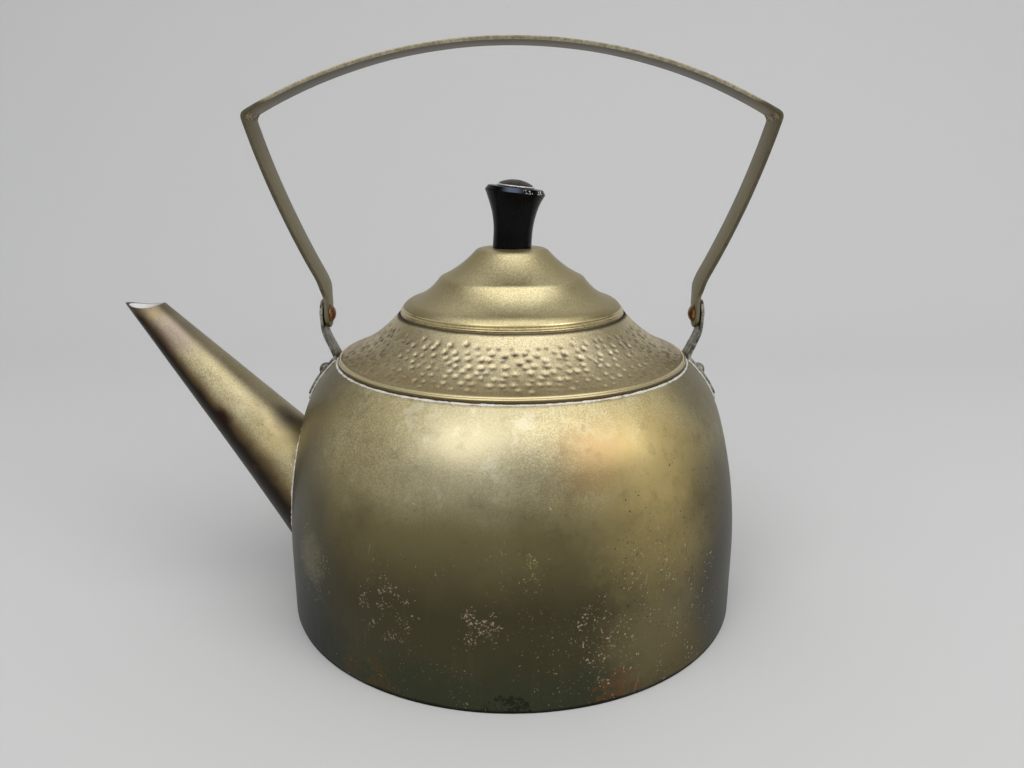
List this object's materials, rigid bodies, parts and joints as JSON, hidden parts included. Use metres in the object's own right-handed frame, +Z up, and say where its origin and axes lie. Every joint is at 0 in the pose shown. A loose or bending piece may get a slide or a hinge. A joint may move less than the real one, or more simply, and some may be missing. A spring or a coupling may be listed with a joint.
{
  "type": "kettle",
  "caption": "Brass kettle with a spun drum, hammered collar, lift-off dome lid with a black knob, straight spout and a swinging strip handle.",
  "frame": {"origin": "centre of the flat base, on the table", "axes": "+Z up along the kettle's axis, -X towards the spout, X along the handle's pivot axis"},
  "size_m": [0.2563, 0.185, 0.2219],
  "materials": {
    "drum_brass": "aged satin",
    "collar_brass": "hammered satin",
    "lid_brass": "satin",
    "spout_brass": "brushed, heat tinted",
    "handle_brass": "brushed, dull",
    "base_brass": "dull",
    "braze": "grainy",
    "lug_metal": "dull, oxidised",
    "solder": "bright tin solder",
    "bright_washer": "polished",
    "knob_rivet": "dark, worn",
    "copper": "copper rivet",
    "black_knob": "turned, glossy black"
  },
  "bodies": {
    "kettle": {"body_shell": "drum_brass", "base_plate": "base_brass", "base_solder": "solder", "shoulder_collar": "collar_brass", "collar_solder": "solder", "mouth_ring": "lid_brass", "spout": "spout_brass", "spout_solder": "solder", "rear_lug": "lug_metal", "spout_side_lug": "lug_metal", "rear_pivot_rivet": "copper", "spout_side_pivot_rivet": "copper", "lug_solder": "solder", "lug_foot_rivets": "lug_metal", "lug_rivet_washers": "lug_metal"},
    "bail": {"bail_handle": "handle_brass", "bail_corner_braze": "braze"},
    "lid": {"lid_shell": "lid_brass", "lid_skirt": "base_brass", "lid_knob": "black_knob", "knob_cup_washer": "bright_washer", "knob_backing_washer": "base_brass", "knob_rivet": "knob_rivet"}
  },
  "joints": [
    {"name": "handle_swing", "type": "hinge", "parent": "kettle", "child": "bail", "pos_m": [0, 0, 0.1186], "axis": [1, 0, 0], "range_deg": [-100, 100]},
    {"name": "lid_lift", "type": "slide", "parent": "kettle", "child": "lid", "axis": [0, 0, 1], "range_m": [0, 0.04]}
  ]
}
